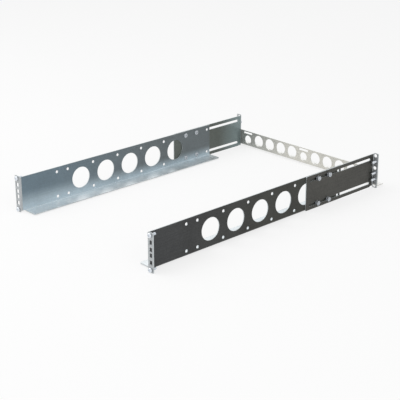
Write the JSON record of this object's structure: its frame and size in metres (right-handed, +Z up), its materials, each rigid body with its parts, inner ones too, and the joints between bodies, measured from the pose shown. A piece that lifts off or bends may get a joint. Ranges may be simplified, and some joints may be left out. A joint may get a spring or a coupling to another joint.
{
  "type": "sliding server rail pair",
  "caption": "Pair of depth-adjustable L-shaped shelf rails with perforated webs, slotted rear brackets and a tie bar, for mounting equipment in a four-post rack.",
  "frame": {"origin": "centre of the four front rack screws, on the plane where the front ears seat against the rack's posts", "axes": "+X to the right seen from the front, +Y to the rear along the rails, +Z up"},
  "size_m": [0.482, 0.7568, 0.088],
  "materials": {
    "galvanised_sheet": "galvanised, satin",
    "crossbar_steel": "galvanised, satin",
    "bolt_zinc": "bright zinc plated",
    "nut_zinc": "bright zinc plated",
    "washer_zinc": "bright zinc plated",
    "screw_zinc": "bright zinc plated"
  },
  "bodies": {
    "rear_frame": {"left_crossbar_screw_lower": "screw_zinc", "left_crossbar_screw_upper": "screw_zinc", "left_crossbar_washer_lower": "washer_zinc", "left_crossbar_washer_upper": "washer_zinc", "left_rear_bracket": "galvanised_sheet", "left_rear_rack_screw_top": "screw_zinc", "left_rear_rack_washer_top": "washer_zinc", "rear_crossbar": "crossbar_steel", "right_crossbar_screw_lower": "screw_zinc", "right_crossbar_screw_upper": "screw_zinc", "right_crossbar_washer_lower": "washer_zinc", "right_crossbar_washer_upper": "washer_zinc", "right_rear_bracket": "galvanised_sheet", "right_rear_rack_screw_top": "screw_zinc", "right_rear_rack_washer_top": "washer_zinc"},
    "left_front": {"left_front_rack_screw_bottom": "screw_zinc", "left_front_rack_screw_top": "screw_zinc", "left_front_rack_washer_bottom": "washer_zinc", "left_front_rack_washer_top": "washer_zinc", "left_front_rail": "galvanised_sheet", "left_slide_bolt_front_lower": "bolt_zinc", "left_slide_bolt_front_upper": "bolt_zinc", "left_slide_bolt_rear_lower": "bolt_zinc", "left_slide_bolt_rear_upper": "bolt_zinc", "left_slide_nut_front_lower": "nut_zinc", "left_slide_nut_front_upper": "nut_zinc", "left_slide_nut_rear_lower": "nut_zinc", "left_slide_nut_rear_upper": "nut_zinc", "left_slide_washer_front_lower": "washer_zinc", "left_slide_washer_front_upper": "washer_zinc", "left_slide_washer_rear_lower": "washer_zinc", "left_slide_washer_rear_upper": "washer_zinc"},
    "right_front": {"right_front_rack_screw_bottom": "screw_zinc", "right_front_rack_screw_top": "screw_zinc", "right_front_rack_washer_bottom": "washer_zinc", "right_front_rack_washer_top": "washer_zinc", "right_front_rail": "galvanised_sheet", "right_slide_bolt_front_lower": "bolt_zinc", "right_slide_bolt_front_upper": "bolt_zinc", "right_slide_bolt_rear_lower": "bolt_zinc", "right_slide_bolt_rear_upper": "bolt_zinc", "right_slide_nut_front_lower": "nut_zinc", "right_slide_nut_front_upper": "nut_zinc", "right_slide_nut_rear_lower": "nut_zinc", "right_slide_nut_rear_upper": "nut_zinc", "right_slide_washer_front_lower": "washer_zinc", "right_slide_washer_front_upper": "washer_zinc", "right_slide_washer_rear_lower": "washer_zinc", "right_slide_washer_rear_upper": "washer_zinc"}
  },
  "joints": [
    {"name": "left_depth_slide", "type": "slide", "parent": "rear_frame", "child": "left_front", "axis": [0, 1, 0], "range_m": [-0.025, 0.115]},
    {"name": "right_depth_slide", "type": "slide", "parent": "rear_frame", "child": "right_front", "axis": [0, 1, 0], "range_m": [-0.025, 0.115]}
  ]
}
